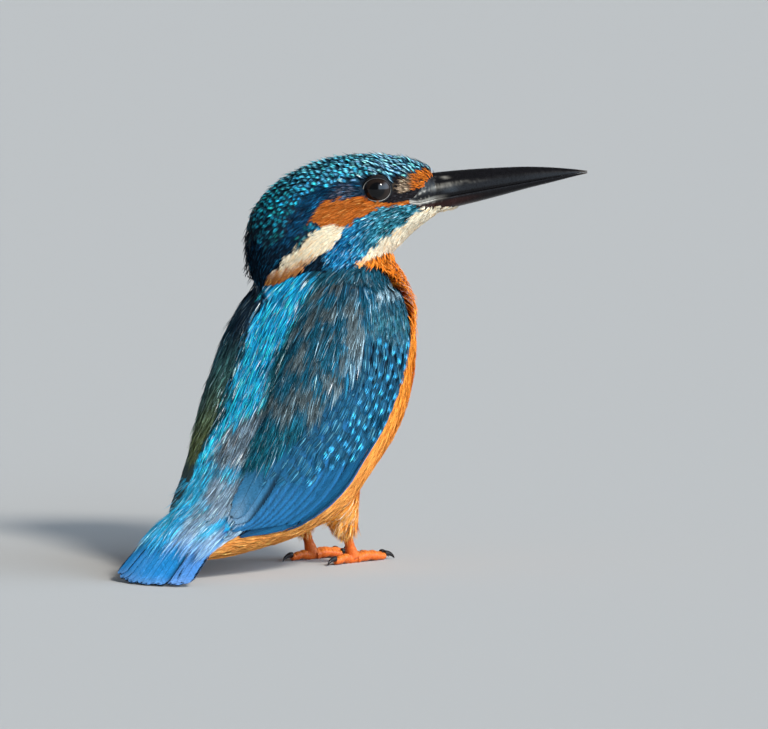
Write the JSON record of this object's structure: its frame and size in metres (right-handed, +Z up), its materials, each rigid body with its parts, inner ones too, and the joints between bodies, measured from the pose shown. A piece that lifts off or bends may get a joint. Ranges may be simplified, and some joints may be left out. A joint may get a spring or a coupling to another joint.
{
  "type": "common kingfisher",
  "caption": "Life-size still model of a common kingfisher standing upright, head turned to its right, with a blue back and orange breast.",
  "frame": {"origin": "on the floor, under the middle of the bird's box", "axes": "+X the way the body faces, +Y the bird's left, +Z up; the head is turned 50 degrees to the bird's right, towards -Y"},
  "size_m": [0.111, 0.0714, 0.1001],
  "materials": {
    "crown_feathers": "feathers, dark teal with cyan spots",
    "breast_feathers": "feathers, rich orange",
    "wing_feathers": "feathers, dark teal blue with cyan spots",
    "tail_feathers": "feathers, deep azure blue",
    "foot_skin": "scaly skin, orange red",
    "bill_horn": "black horn, half gloss",
    "claw_horn": "black horn",
    "eye": "very dark brown, wet gloss"
  },
  "bodies": {
    "root": {"head": "crown_feathers", "neck": "breast_feathers", "trunk": "breast_feathers", "tail": "tail_feathers", "wing_left": "wing_feathers", "wing_right": "wing_feathers", "leg_left": "breast_feathers", "leg_right": "breast_feathers", "foot_left": "foot_skin", "foot_right": "foot_skin", "bill_upper": "bill_horn", "bill_lower": "bill_horn", "eye_left": "eye", "eye_right": "eye", "claw_left_inner": "claw_horn", "claw_left_middle": "claw_horn", "claw_left_outer": "claw_horn", "claw_left_hind": "claw_horn", "claw_right_inner": "claw_horn", "claw_right_middle": "claw_horn", "claw_right_outer": "claw_horn", "claw_right_hind": "claw_horn"}
  },
  "joints": []
}
